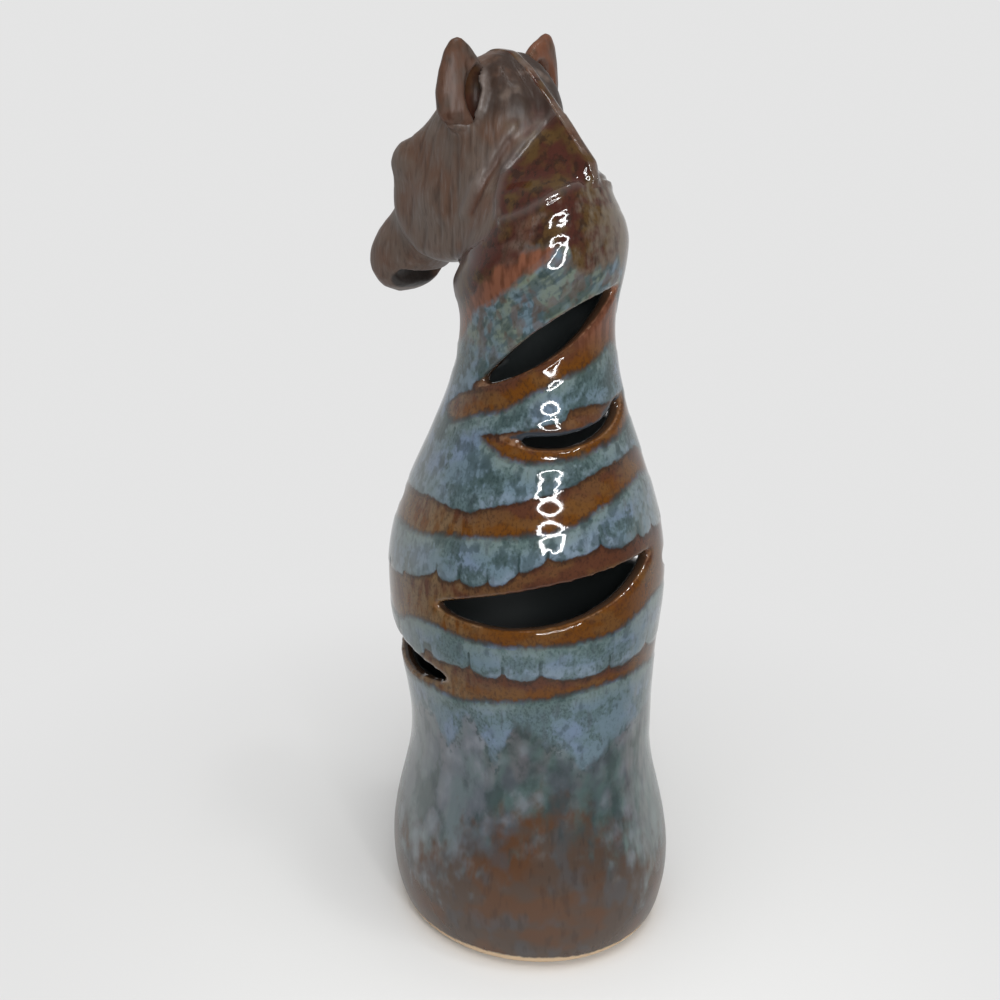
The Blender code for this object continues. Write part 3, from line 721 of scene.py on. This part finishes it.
# Below the lowest band the blue hangs in curtains, and drops of every tint run down into the brown foot.
curtain = wire["curtain_mm"] + 12 * blotchy + 6 * streaky + 5 * curdy
spread = wire.drops((6, 6, 8.5), 6) + 0.35 * curdy
teardrops = spread.step(0.5, 0.12) * wire.cloud((14, 14, 16), 6.5).step(0.4, 0.6)
# Painted reflection: the runs turn pale lilac towards the left side, as if the bright room mirrored
# there.
painted_left_reflection = (sideways + 18 * streaky).step(-6, -26)
middle = (sideways + 14 * streaky).step(-16, 2) * sideways.step(34, 18)
runs = coated(
    wire.cloud((9, 9, 12), 5).step(0.38, 0.62).mix(SLATE, TEAL_GREEN),
    (0.6 * wire.cloud((9, 9, 16), 5.5).step(0.48, 0.66), MAUVE),
    (0.16 * middle, DARK_TEAL),
    (0.58 * teardrops + 0.42 * painted_left_reflection, PALE_LILAC),
    (0.6 * spread.step(0.44, 0.66), DARK_TEAL),
    (0.7 * curtain.step(-6, -1.5) * curds.step(0.48, 0.62), DARK_TEAL))
# Painted reflection: the blue turns pale grey towards the right and left sides of the body, where the
# bright room would mirror in the glaze.
wandering = sideways + 16 * streaky
painted_edge_reflection = wandering.step(28, 43) + 0.7 * wandering.step(-22, -44)
blue = coated(blue, (curtain.step(2, -3.5), runs), (0.5 * painted_edge_reflection, EDGE_REFLECTION_GREY))

# The brown: a dark line along its edges, red above and amber below, with fine specks.
up = wire["share_up"] + 0.9 * blotchy + 0.5 * streaky
brown = coated(
    up.step(0.72, 0.3).mix(RED_BROWN, AMBER),
    (0.5 * wire.cloud((11, 11, 6), 3.6).step(0.46, 0.6), TAN),
    (0.55 * sideways.step(-8, -32) * streaks.step(0.34, 0.58), KHAKI),
    (0.3 * curds.step(0.52, 0.66), DARK_BROWN),
    (0.4 * fine.step(0.52, 0.66), DARK_BROWN),
    (0.75 * (edge + 2.6 * curdy).step(-2.2, -0.1), DARK_BROWN),
    (rise.step(208, 220), (0.8 * streaks.step(0.4, 0.62)).mix(RUST, RED_BROWN)))
nape = (wire["nape_mm"] + 9 * blotchy + 5 * streaky).step(-1.5, 2.5)
foot = wire["foot_mm"] + 44 * blotchy + 20 * streaky
foot_clay = coated(
    wire.cloud((18, 18, 12), 9.5).step(0.46, 0.6).mix(FOOT_CLAY, FOOT_ORANGE),
    (0.45 * wire.cloud((9, 9, 12), 9).step(0.48, 0.66), SLATE),
    (0.35 * streaks.step(0.52, 0.7), DARK_BROWN),
    (0.35 * teardrops * foot.step(-26, 4), PALE_BLUE))

# The lips of the cuts, where the glaze draws thin and a painted highlight runs along the lower lips, the
# dark inside, and the wiped foot ring.
depth_in = wire["depth_mm"]
# Partly thin glaze and partly a painted highlight: a light tan line along the lips, strongest on the
# lower ones.
lip = (wire["slit_mm"] + 0.5 * (fine - 0.5)).step(0.6, 0.1) * depth_in.step(1.4, 0.8)
lip = lip * (0.2 + 0.8 * wire["lower_lip"]) * curds.step(0.3, 0.56)
inside = depth_in.step(3.4, 4.6)
on_roll = wire["roll_mm"].step(0.6, 0.2) * depth_in.step(0.2, 0.6)
bare = (rise + 1.6 * streaky).step(5.4, 4.2)
colour = coated(
    blue_part.mix(brown, blue),
    (nape, nape_glaze(wire)),
    (foot.step(15, -13), foot_clay),
    (0.45 * lip, LIP_TAN_AND_HIGHLIGHT),
    (depth_in.step(1, 1.8), CUT_BROWN),
    (inside, INSIDE),
    (on_roll, ROLL_DARK),
    (bare, BARE_CLAY))
colour.feed(shader, "Base Color")
rough = 0.05 + 0.03 * blotches + 0.2 * rise.step(82, 50) + 0.45 * inside * (1 - on_roll) + 0.5 * bare
rough = rough + 0.3 * on_neck * sideways.step(-17, -25)
rough.feed(shader, "Roughness")
(0.4 * blue_part + 0.25 * fine).bump(shader, 0.12)
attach(body, "root")
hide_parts("body_shell")

# Head shell: a hollow head carved in the clay, with hair drawn into the cheeks by a needle and ridges
# across the neck. It is luted onto the sloping neck rim, with slip smoothed over the joint.
HEAD_VOXEL = 0.00066
# How far the slip stands out from the wall, at heights from the rim.
SLIP = ((0.005, -0.006), (0.0028, -0.0036), (0.001, -0.0016), (0, -0.0003), (-0.001, 0.0003),
        (-0.002, 0.0004), (-0.0034, 0.0001), (-0.005, -0.0002), (-0.008, -0.001))
SLIP_THICKNESS = 0.0024
# Lines on both sides, as points on the left one: out to the left, back from the body's axis and up.
CREST_RIDGE = ((0.0022, 0.0096, 0.2815), (0.0048, 0.0072, 0.278), (0.0076, 0.0062, 0.275),
               (0.0101, 0.0044, 0.2715), (0.0117, 0.0027, 0.2683), (0.0135, 0.001, 0.2653))
NECK_RIDGE = ((0.0019, 0.027, 0.264), (0.0058, 0.0242, 0.2621), (0.0113, 0.0225, 0.2605),
              (0.0161, 0.0194, 0.2577), (0.0192, 0.0152, 0.2546), (0.0208, 0.0113, 0.2526),
              (0.0216, 0.0075, 0.2511))
FRONT_STRAND = ((0.0115, 0.002, 0.2773), (0.0137, -0.0006, 0.2723), (0.0161, -0.0049, 0.2653),
                (0.018, -0.0078, 0.26), (0.0185, -0.0109, 0.254), (0.0185, -0.0127, 0.2509))
BACK_STRAND = ((0.0098, 0.0044, 0.2728), (0.0118, 0.0024, 0.2684), (0.0139, 0.001, 0.2645),
               (0.0158, 0.0011, 0.2612), (0.0192, 0.0033, 0.2561), (0.0205, 0.005, 0.2525))
STRAND_GROOVE = ((0.0126, 0.001, 0.2735), (0.0144, -0.0019, 0.2675), (0.0166, -0.0044, 0.2616),
                 (0.0184, -0.0065, 0.2561), (0.0186, -0.009, 0.2516))
EAR_RIM = ((0.0118, -0.011, 0.2935), (0.0126, -0.0095, 0.2916), (0.014, -0.0069, 0.2872),
           (0.0159, -0.007, 0.2821), (0.0172, -0.0085, 0.279))
# Each carved line with its height and half-width. A groove's height is less than nothing.
CARVED_LINES = ((CREST_RIDGE, 0.0009, 0.0009), (NECK_RIDGE, 0.0012, 0.0011),
                (FRONT_STRAND, 0.0008, 0.0016), (BACK_STRAND, 0.0008, 0.0014),
                (STRAND_GROOVE, -0.0007, 0.001), (EAR_RIM, 0.002, 0.001))
# The panel of the nape stands out a little, behind the back strand and crest, above the neck's ridge.
PANEL_FRONT = [(up, back) for side, back, up in BACK_STRAND[:2:-1] + CREST_RIDGE[::-1]]
PANEL_FOOT = [(back, up) for side, back, up in NECK_RIDGE[:1:-1]] + [(0.0265, 0.2638)]
PANEL_RISE = 0.0003
# The point that the hair of the cheeks fans out from, back and up, and the size of its strokes.
HAIR_CENTRE = (-0.008, 0.335)
HAIR_FAN = 0.075
HAIR_SPACING = 0.0019
HAIR_LENGTH = 0.015
HAIR_DEPTH = 0.00026
HEAD_SLOPE = math.radians(46)
HEAD_POLL = (-0.0095, 0.28)
HEAD_UNEVEN = 0.00015
HEAD_ROUNDING_SHARE = 0.88
# How wide a wet finger rubs the joint and the roots of the mane and ears, and how far these swell.
JOINT_SOFTENING = 0.0035
MANE_FILL = 0.0004
MANE_BLEND = 0.0024
EAR_FILL = 0.0003
EAR_ROOT = 0.2785
EAR_BLEND = 0.002
# The mouth, a hollow under the muzzle, coloured near black: glaze pooled there, with painted shade over
# it.
MOUTH = ((0.002, -0.0525, 0.2225), (0.0078, -0.0535, 0.223))
MOUTH_RADIUS = 0.0037
MOUTH_SHADE = linear(22, 16, 13)


def merged_copy(node, grow=0.0):
    """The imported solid's own mesh with its loose triangles joined, grown a little or shrunk."""
    bm = bmesh.new()
    bm.from_mesh(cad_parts[node].data)
    bmesh.ops.remove_doubles(bm, verts=bm.verts[:], dist=2e-6)
    bm.normal_update()
    for place, vert in [(vert.co + vert.normal * grow, vert) for vert in bm.verts]:
        vert.co = place
    return bm


def add_clay(clay, form):
    """Adds a form to the clay: gives its faces as a tree, to find what lies near it."""
    mesh = bpy.data.meshes.new("form")
    form.to_mesh(mesh)
    clay.from_mesh(mesh)
    return BVHTree.FromBMesh(form)


def line_distance(places, line):
    """Distance of each place from a line on the left side or its mirror image on the right."""
    folded = np.column_stack((np.abs(places[:, 0]), places[:, 1] - AXIS_BACK, places[:, 2]))
    nearest = np.full(len(places), 1.0)
    points = np.array(line)
    for start, end in zip(points, points[1:]):
        along = end - start
        share = np.clip((folded - start) @ along / (along @ along), 0, 1)
        nearest = np.minimum(nearest, np.linalg.norm(folded - start - share[:, None] * along, axis=1))
    return nearest


def near_line(places, line, half_width):
    """1 on a line, fading out over its half-width."""
    return np.exp(-(line_distance(places, line) / half_width) ** 2)


def grain(*axes):
    """Smooth noise from about -1 to 1, at places that are given axis by axis."""
    return np.array([noise.noise(Vector(place)) for place in zip(*axes)])


def hair(places, normals):
    """Needle strokes, from 0 to 1: down the cheeks from a point above, and along the nose in front."""
    back = places[:, 1] - AXIS_BACK - HAIR_CENTRE[0]
    drop = HAIR_CENTRE[1] - places[:, 2]
    reach = np.hypot(back, drop)
    fan = np.arctan2(back, drop) * HAIR_FAN
    ahead = places[:, 1] - AXIS_BACK - HEAD_POLL[0]
    up = places[:, 2] - HEAD_POLL[1]
    along = -math.cos(HEAD_SLOPE) * ahead - math.sin(HEAD_SLOPE) * up
    side = np.sign(places[:, 0]) * 40
    cheek = grain(fan / HAIR_SPACING, reach / HAIR_LENGTH, side)
    front = grain(places[:, 0] / HAIR_SPACING, along / HAIR_LENGTH, np.full(len(places), 7.5))
    facing = ramp(np.abs(normals[:, 0]), 0.35, 0.75)
    return ramp(cheek * facing + front * (1 - facing), 0.02, 0.55)


clay = merged_copy("head_shell")
slip_outer = [(float(wall_radius(min(RIM_HEIGHT + up, RIM_HEIGHT))) + out, RIM_HEIGHT + up)
              for up, out in SLIP]
slip_inner = [(radius - SLIP_THICKNESS, height) for radius, height in slip_outer[::-1]]
spun_section(clay, slip_outer + slip_inner, 96)
luted = [(add_clay(clay, merged_copy("mane_strip", MANE_FILL)), MANE_BLEND, 20)]
for word in ("left", "right"):
    root = merged_copy(word + "_ear", EAR_FILL)
    everything = root.verts[:] + root.edges[:] + root.faces[:]
    bmesh.ops.bisect_plane(root, geom=everything, plane_co=(0, 0, EAR_ROOT), plane_no=(0, 0, 1),
                           clear_outer=True)
    bmesh.ops.holes_fill(root, edges=[edge for edge in root.edges if edge.is_boundary])
    luted.append((add_clay(clay, root), EAR_BLEND, 14))
head = clay_skin("head_shell_glazed", clay, HEAD_VOXEL, 7)
spots = vertex_values(head)
soften(head, np.abs(spots[:, 2] - rim_height(spots[:, 1])) < JOINT_SOFTENING, 24)
for tree, reach, passes in luted:
    soften(head, [tree.find_nearest(spot, reach)[0] is not None for spot in spots], passes)
spots = vertex_values(head)
level, angle, depth = body_places(spots)
inward = HEAD_ROUNDING_SHARE * rim_rounding(level, angle) * ramp(depth, 0.0055, 0.0025)
move_in(head, inward)
soften(head, inward > 0.0001, 5)
spots = vertex_values(head)
normals = vertex_values(head, "normal")
back = spots[:, 1] - AXIS_BACK
carving = np.zeros(len(spots))
for line, line_rise, half_width in CARVED_LINES:
    carving += line_rise * near_line(spots, line, half_width)
carving *= ramp(np.abs(spots[:, 0]), 0.0015, 0.0042)
behind_front = back - eased(spots[:, 2], PANEL_FRONT)
above_foot = spots[:, 2] - eased(back, PANEL_FOOT)
panel = ramp(np.minimum(behind_front, above_foot), 0.0004, 0.0024)
over_joint = spots[:, 2] - rim_height(spots[:, 1])
cheek = ramp(behind_front, 0.001, -0.003) * ramp(over_joint, -0.004, 0.004)
strokes = hair(spots, normals) * cheek
strokes *= 1 - 0.75 * ramp(back, -0.034, -0.044)
carving += PANEL_RISE * panel
move_out(head, carving - HAIR_DEPTH * strokes + HEAD_UNEVEN * lumps(spots, 0.006, 5))
# Painted shade over pooled glaze: the hollow of the mouth is coloured near black.
mouth = ramp(line_distance(spots, MOUTH), 1.35 * MOUTH_RADIUS, MOUTH_RADIUS)
mouth *= ramp(spots[:, 0], -0.0075, -0.0045)
parts = {
    "stroke": strokes,
    "ridge": np.maximum(near_line(spots, CREST_RIDGE, 0.0017), near_line(spots, NECK_RIDGE, 0.0012)),
    "strand": np.maximum(near_line(spots, FRONT_STRAND, 0.0018), near_line(spots, BACK_STRAND, 0.0016)),
    "groove": near_line(spots, STRAND_GROOVE, 0.0014),
    "rim": near_line(spots, EAR_RIM, 0.0011),
    "panel": panel,
    "cheek": cheek,
    "mouth": mouth,
    "skull": ramp(spots[:, 2], 0.276, 0.284) * ramp(back, -0.014, -0.009),
    "high": ramp(above_foot, 0.002, 0.005),
    "small_panel": ramp(behind_front, -0.01, -0.004) * ramp(spots[:, 2], 0.274, 0.279),
}
for name, values in parts.items():
    keep_values(head, name, values)

shader, wire = new_glaze(head, "carved_brown_glaze")
cheek_part = wire["cheek"]
neck_patch = wire.cloud((12, 12, 9), 8.5).step(0.44, 0.56)
warm = (1 - cheek_part) * (neck_patch + wire["panel"]).step(0, 0.8)
warm = warm + (1 - warm) * 0.8 * wire["small_panel"]
specks = wire.cloud((0.8, 0.8, 1.1), 2).step(0.55, 0.7)
dark = 0.4 * wire["stroke"] + 0.3 * specks * (1 - cheek_part)
on_skull = wire["skull"] * wire.cloud((6, 6, 6), 16).step(0.22, 0.5)
colour = coated(
    brown_glaze(wire, warm, dark),
    ((1 - cheek_part) * (1 - wire["panel"]), nape_glaze(wire)),
    (0.8 * wire["groove"], RED_BROWN),
    (0.38 * wire["strand"], LILAC_GREY),
    (0.35 * wire["ridge"], LILAC_GREY),
    (0.92 * wire["mouth"], MOUTH_SHADE),
    (0.85 * on_skull * (1 - wire["rim"]), DARK_BROWN),
    (0.5 * wire["rim"], LILAC_GREY))
colour.feed(shader, "Base Color")
matt = 0.45 * wire["ridge"] * wire["high"] + 0.34 * cheek_part
(0.07 + matt + 0.12 * cheek_part * wire.cloud((4, 4, 8), 14)).feed(shader, "Roughness")
(wire.cloud((0.8, 0.8, 6), 15) * cheek_part).bump(shader, 0.25)
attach(head, "root")
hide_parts("head_shell")

# Ears: two pinched leaves of clay, pressed into the head, each with a cup scooped by a thumb. The glaze
# is thin and grey on their backs and pools red in the cups.
EAR_VOXEL = 0.00045
# The thumb's scoop in the left ear: its middle, out to the left, back from the axis and up, its
# half-sizes, and the way it presses.
CUP_CENTRE = np.array((0.0138, -0.0095, 0.2862))
CUP_SIZES = np.array((0.0046, 0.006, 0.0092))
CUP_PRESS = np.array((0, -1, 0))
EAR_SWELL = 0.0003
EAR_STROKES = 0.00016
EAR_PRESSED_IN = 0.0008
# Each ear with its side, how far its tip spreads inwards, and how dark, pooled and rusty its glaze is.
EARS = (("left", 1, 0, 0.38, 0, 0.25), ("right", -1, 0.0028, 0.05, 0.3, 0.65))
for word, side, tip_spread, darkness, pooling, rust in EARS:
    ear = clay_skin(word + "_ear_glazed", merged_copy(word + "_ear"), EAR_VOXEL, 6)
    spots = vertex_values(ear)
    pressed_in = EAR_PRESSED_IN * ramp(spots[:, 2], 0.2795, 0.2765)
    move_out(ear, EAR_SWELL - pressed_in + EAR_STROKES * lumps(spots * (1, 1, 0.25), 0.0022, 21))
    spots = vertex_values(ear)
    inner_edge = ramp(side * spots[:, 0], 0.019, 0.012) * ramp(spots[:, 2], 0.284, 0.293)
    spots[:, 0] -= side * tip_spread * inner_edge
    local = (spots * (side, 1, 1) - (0, AXIS_BACK, 0) - CUP_CENTRE) / CUP_SIZES
    press = CUP_PRESS / CUP_SIZES
    along = local @ press
    inner = np.einsum("ij,ij->i", local, local) - 1
    pushed = (-along + np.sqrt(np.maximum(along ** 2 - (press @ press) * inner, 0))) / (press @ press)
    scooped = inner < 0
    spots += np.where(scooped, pushed, 0)[:, None] * (CUP_PRESS * (side, 1, 1))
    set_places(ear, spots)
    keep_values(ear, "cup", ramp(np.where(scooped, pushed, 0), 0.0002, 0.0016))
    keep_values(ear, "cup_edge", np.exp(-(np.where(inner > -0.2, inner, 1) / 0.16) ** 2))
    shader, wire = new_glaze(ear, word + "_ear_glaze")
    shader.inputs["Specular IOR Level"].default_value = 0.2
    speckle = darkness + 0.5 * wire.cloud((2, 2, 5), 22).step(0.56, 0.76)
    pooled = 0.85 * wire["cup"] + pooling
    colour = coated(
        brown_glaze(wire, pooled, speckle),
        (rust * wire.cloud((5, 5, 7), 25).step(0.3, 0.55), RUST),
        (0.45 * wire["cup_edge"], LILAC_GREY))
    colour.feed(shader, "Base Color")
    (0.26 + 0.22 * wire.cloud((3, 3, 6), 24)).feed(shader, "Roughness")
    wire.cloud((0.9, 0.9, 6), 23).bump(shader, 0.25)
    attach(ear, "root")
    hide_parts(word + "_ear")

# Mane strip: a strap of clay laid along the crest and pressed down until its edges sink into the head,
# under the same brown glaze.
MANE_VOXEL = 0.00045
MANE_RISE = 0.00015
MANE_EDGE_DROP = 0.0006
mane = clay_skin("mane_strip_glazed", merged_copy("mane_strip", MANE_FILL), MANE_VOXEL, 6)
spots = vertex_values(mane)
skin = BVHTree.FromObject(head, bpy.context.evaluated_depsgraph_get())
nearest = [skin.find_nearest(spot) for spot in spots]
touched, outward = [np.array(column) for column in list(zip(*nearest))[:2]]
above = np.einsum("ij,ij->i", spots - touched, outward)
lift = MANE_RISE - MANE_EDGE_DROP * ramp(np.abs(spots[:, 0]), 0.0016, 0.0027)
on_top = ramp(above, -0.0018, -0.0008)[:, None]
set_places(mane, spots + on_top * (touched + outward * lift[:, None] - spots))
shader, wire = new_glaze(mane, "mane_glaze")
pooled = wire.cloud((9, 9, 9), 32).step(0.42, 0.6)
speckle = 0.7 * wire.cloud((2, 6, 6), 33).step(0.56, 0.76)
brown_glaze(wire, pooled, speckle).feed(shader, "Base Color")
(0.07 + 0.08 * wire.cloud((4, 4, 4), 35)).feed(shader, "Roughness")
wire.cloud((1.5, 3, 3), 34).bump(shader, 0.12)
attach(mane, "root")
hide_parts("mane_strip")

# Eyes: two pellets of dark clay, pressed into the sockets below the brows while the head is damp, under
# a black glaze.
EYE_VOXEL = 0.0003
EYE_SHRINK = 0.0006
EYE_BLACK = linear(22, 15, 12)
EYE_BROWN = linear(46, 28, 20)
for word in ("left", "right"):
    eye = clay_skin(word + "_eye_glazed", merged_copy(word + "_eye", -EYE_SHRINK), EYE_VOXEL, 4)
    shader, wire = new_glaze(eye, word + "_eye_glaze")
    wire.cloud((2, 2, 2), 41).step(0.45, 0.65).mix(EYE_BLACK, EYE_BROWN).feed(shader, "Base Color")
    (0.05 + 0.06 * wire.cloud((1.5, 1.5, 1.5), 43)).feed(shader, "Roughness")
    wire.cloud((1.2, 1.2, 1.2), 42).bump(shader, 0.15, 0.0003)
    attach(eye, "root")
    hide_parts(word + "_eye")

# Table: a plain pale table top, far wider than the figure. It fades evenly into the pale background, for
# the camera and in the gloss.
TABLE_RADIUS = 6
TABLE_PALE = linear(222, 222, 221)
BACKGROUND_LEVEL = 0.78
# What the gloss mirrors: the level of the dim side of the room, and how much brighter the far side is.
ROOM_DIM = 0.14
ROOM_RISE = 0.58


def far_side(way):
    """0 for a way towards the camera's side of the room, 1 for one towards the far side."""
    return way.dot(-LEFT_BACK).step(-0.45, 0.5)


bm = bmesh.new()
bmesh.ops.create_circle(bm, cap_ends=True, segments=96, radius=TABLE_RADIUS)
table = new_object("table", bm)
shader, wire = new_glaze(table, "pale_table")
shader.inputs["Base Color"].default_value = TABLE_PALE
shader.inputs["Roughness"].default_value = 0.6
shader.inputs["Specular IOR Level"].default_value = 0.2
place = wire.scaled((1000, 1000, 1000))
from_middle = wire.node("VectorMath", {0: place}, {"operation": "LENGTH"}, "Value")
direction = wire.node("VectorMath", {0: place}, {"operation": "NORMALIZE"})
in_view = wire.node("LightPath", output="Is Camera Ray")
seen = in_view + wire.node("LightPath", output="Is Glossy Ray")
mirrored = ROOM_DIM + ROOM_RISE * far_side(direction)
glow = wire.node("Emission", {"Color": mirrored + in_view * (BACKGROUND_LEVEL - mirrored)})
lit = Wire(wire.tree, shader.outputs[0])
faded = wire.node("MixShader", {0: seen * from_middle.step(0.03, 0.28), 1: lit, 2: glow})
faded.feed(wire.tree.nodes["Material Output"], "Surface")

# Light: a white room whose far side is brighter than the camera's side, a soft box overhead, and a ring
# lamp beside the camera, which draws small rings of light down the glossy back.
TARGET = Vector((0, AXIS_BACK, 0.17))
OVERHEAD_PLACE = TARGET + Vector((0, 0, 1.3)) + LEFT_BACK * 0.3
OVERHEAD_SIZE = 1.2
OVERHEAD_POWER = 15
CEILING_PLACE = TARGET + LEFT_BACK * 0.15 + RIGHT_BACK * 0.25 + Vector((0, 0, 0.95))
CEILING_SIZE = 0.1
CEILING_POWER = 0.9
RING_DISTANCE = 0.55
RING_RADIUS = 0.105
RING_LAMPS = 28
RING_LAMP_SIZE = 0.026
RING_LAMP_POWER = 0.075
RING_TURN = math.radians(8.6)
RING_RISE = math.radians(14)


def add_lamp(name, place, size, power):
    lamp = bpy.data.lights.new(name, "AREA")
    lamp.shape = "DISK"
    lamp.size = size
    lamp.energy = power
    made = bpy.data.objects.new(name, lamp)
    made.location = place
    made.rotation_euler = (place - TARGET).to_track_quat("Z", "Y").to_euler()
    scene.collection.objects.link(made)
    return made


overhead = add_lamp("overhead_box", OVERHEAD_PLACE, OVERHEAD_SIZE, OVERHEAD_POWER)
overhead.visible_glossy = False
add_lamp("ceiling_lamp", CEILING_PLACE, CEILING_SIZE, CEILING_POWER)
ring_way = (LEFT_BACK * math.cos(RING_TURN) + RIGHT_BACK * math.sin(RING_TURN)) * math.cos(RING_RISE)
ring_way += Vector((0, 0, math.sin(RING_RISE)))
ring_side = ring_way.cross(Vector((0, 0, 1))).normalized()
ring_up = ring_side.cross(ring_way)
for number in range(RING_LAMPS):
    turn = 2 * math.pi * number / RING_LAMPS
    place = TARGET + ring_way * RING_DISTANCE
    place += (ring_side * math.cos(turn) + ring_up * math.sin(turn)) * RING_RADIUS
    add_lamp(f"ring_lamp_{number:02d}", place, RING_LAMP_SIZE, RING_LAMP_POWER)

world = bpy.data.worlds.new("white_room")
scene.world = world
world.use_nodes = True
room = Wire(world.node_tree)
way = room.node("TexCoord", output="Generated")
upward = room.node("SeparateXYZ", {0: way}, output=2)
room_level = ROOM_DIM + ROOM_RISE * far_side(way) * (1 - 0.7 * upward.step(0.1, 0.6))
rays = room.node("LightPath", output="Is Camera Ray")
seen_level = room_level + rays * (BACKGROUND_LEVEL - room_level)
seen_level.feed(world.node_tree.nodes["Background"], "Color")

# Camera: where the photograph was taken from, behind the left shoulder and a little above the head.
CAMERA_LENS = 50.4
CAMERA_BACK = 0.441
CAMERA_LEFT = 0.0106
CAMERA_HEIGHT = 0.3186
CAMERA_PITCH = math.radians(20.39)
camera = bpy.data.objects.new("camera", bpy.data.cameras.new("camera"))
camera.data.sensor_width = 36
camera.data.lens = CAMERA_LENS
camera.location = LEFT_BACK * CAMERA_BACK - RIGHT_BACK * CAMERA_LEFT
camera.location += Vector((0, AXIS_BACK, CAMERA_HEIGHT))
sight = -LEFT_BACK * math.cos(CAMERA_PITCH) - Vector((0, 0, math.sin(CAMERA_PITCH)))
camera.rotation_euler = sight.to_track_quat("-Z", "Y").to_euler()
scene.collection.objects.link(camera)
scene.camera = camera
scene.view_settings.view_transform = "Standard"
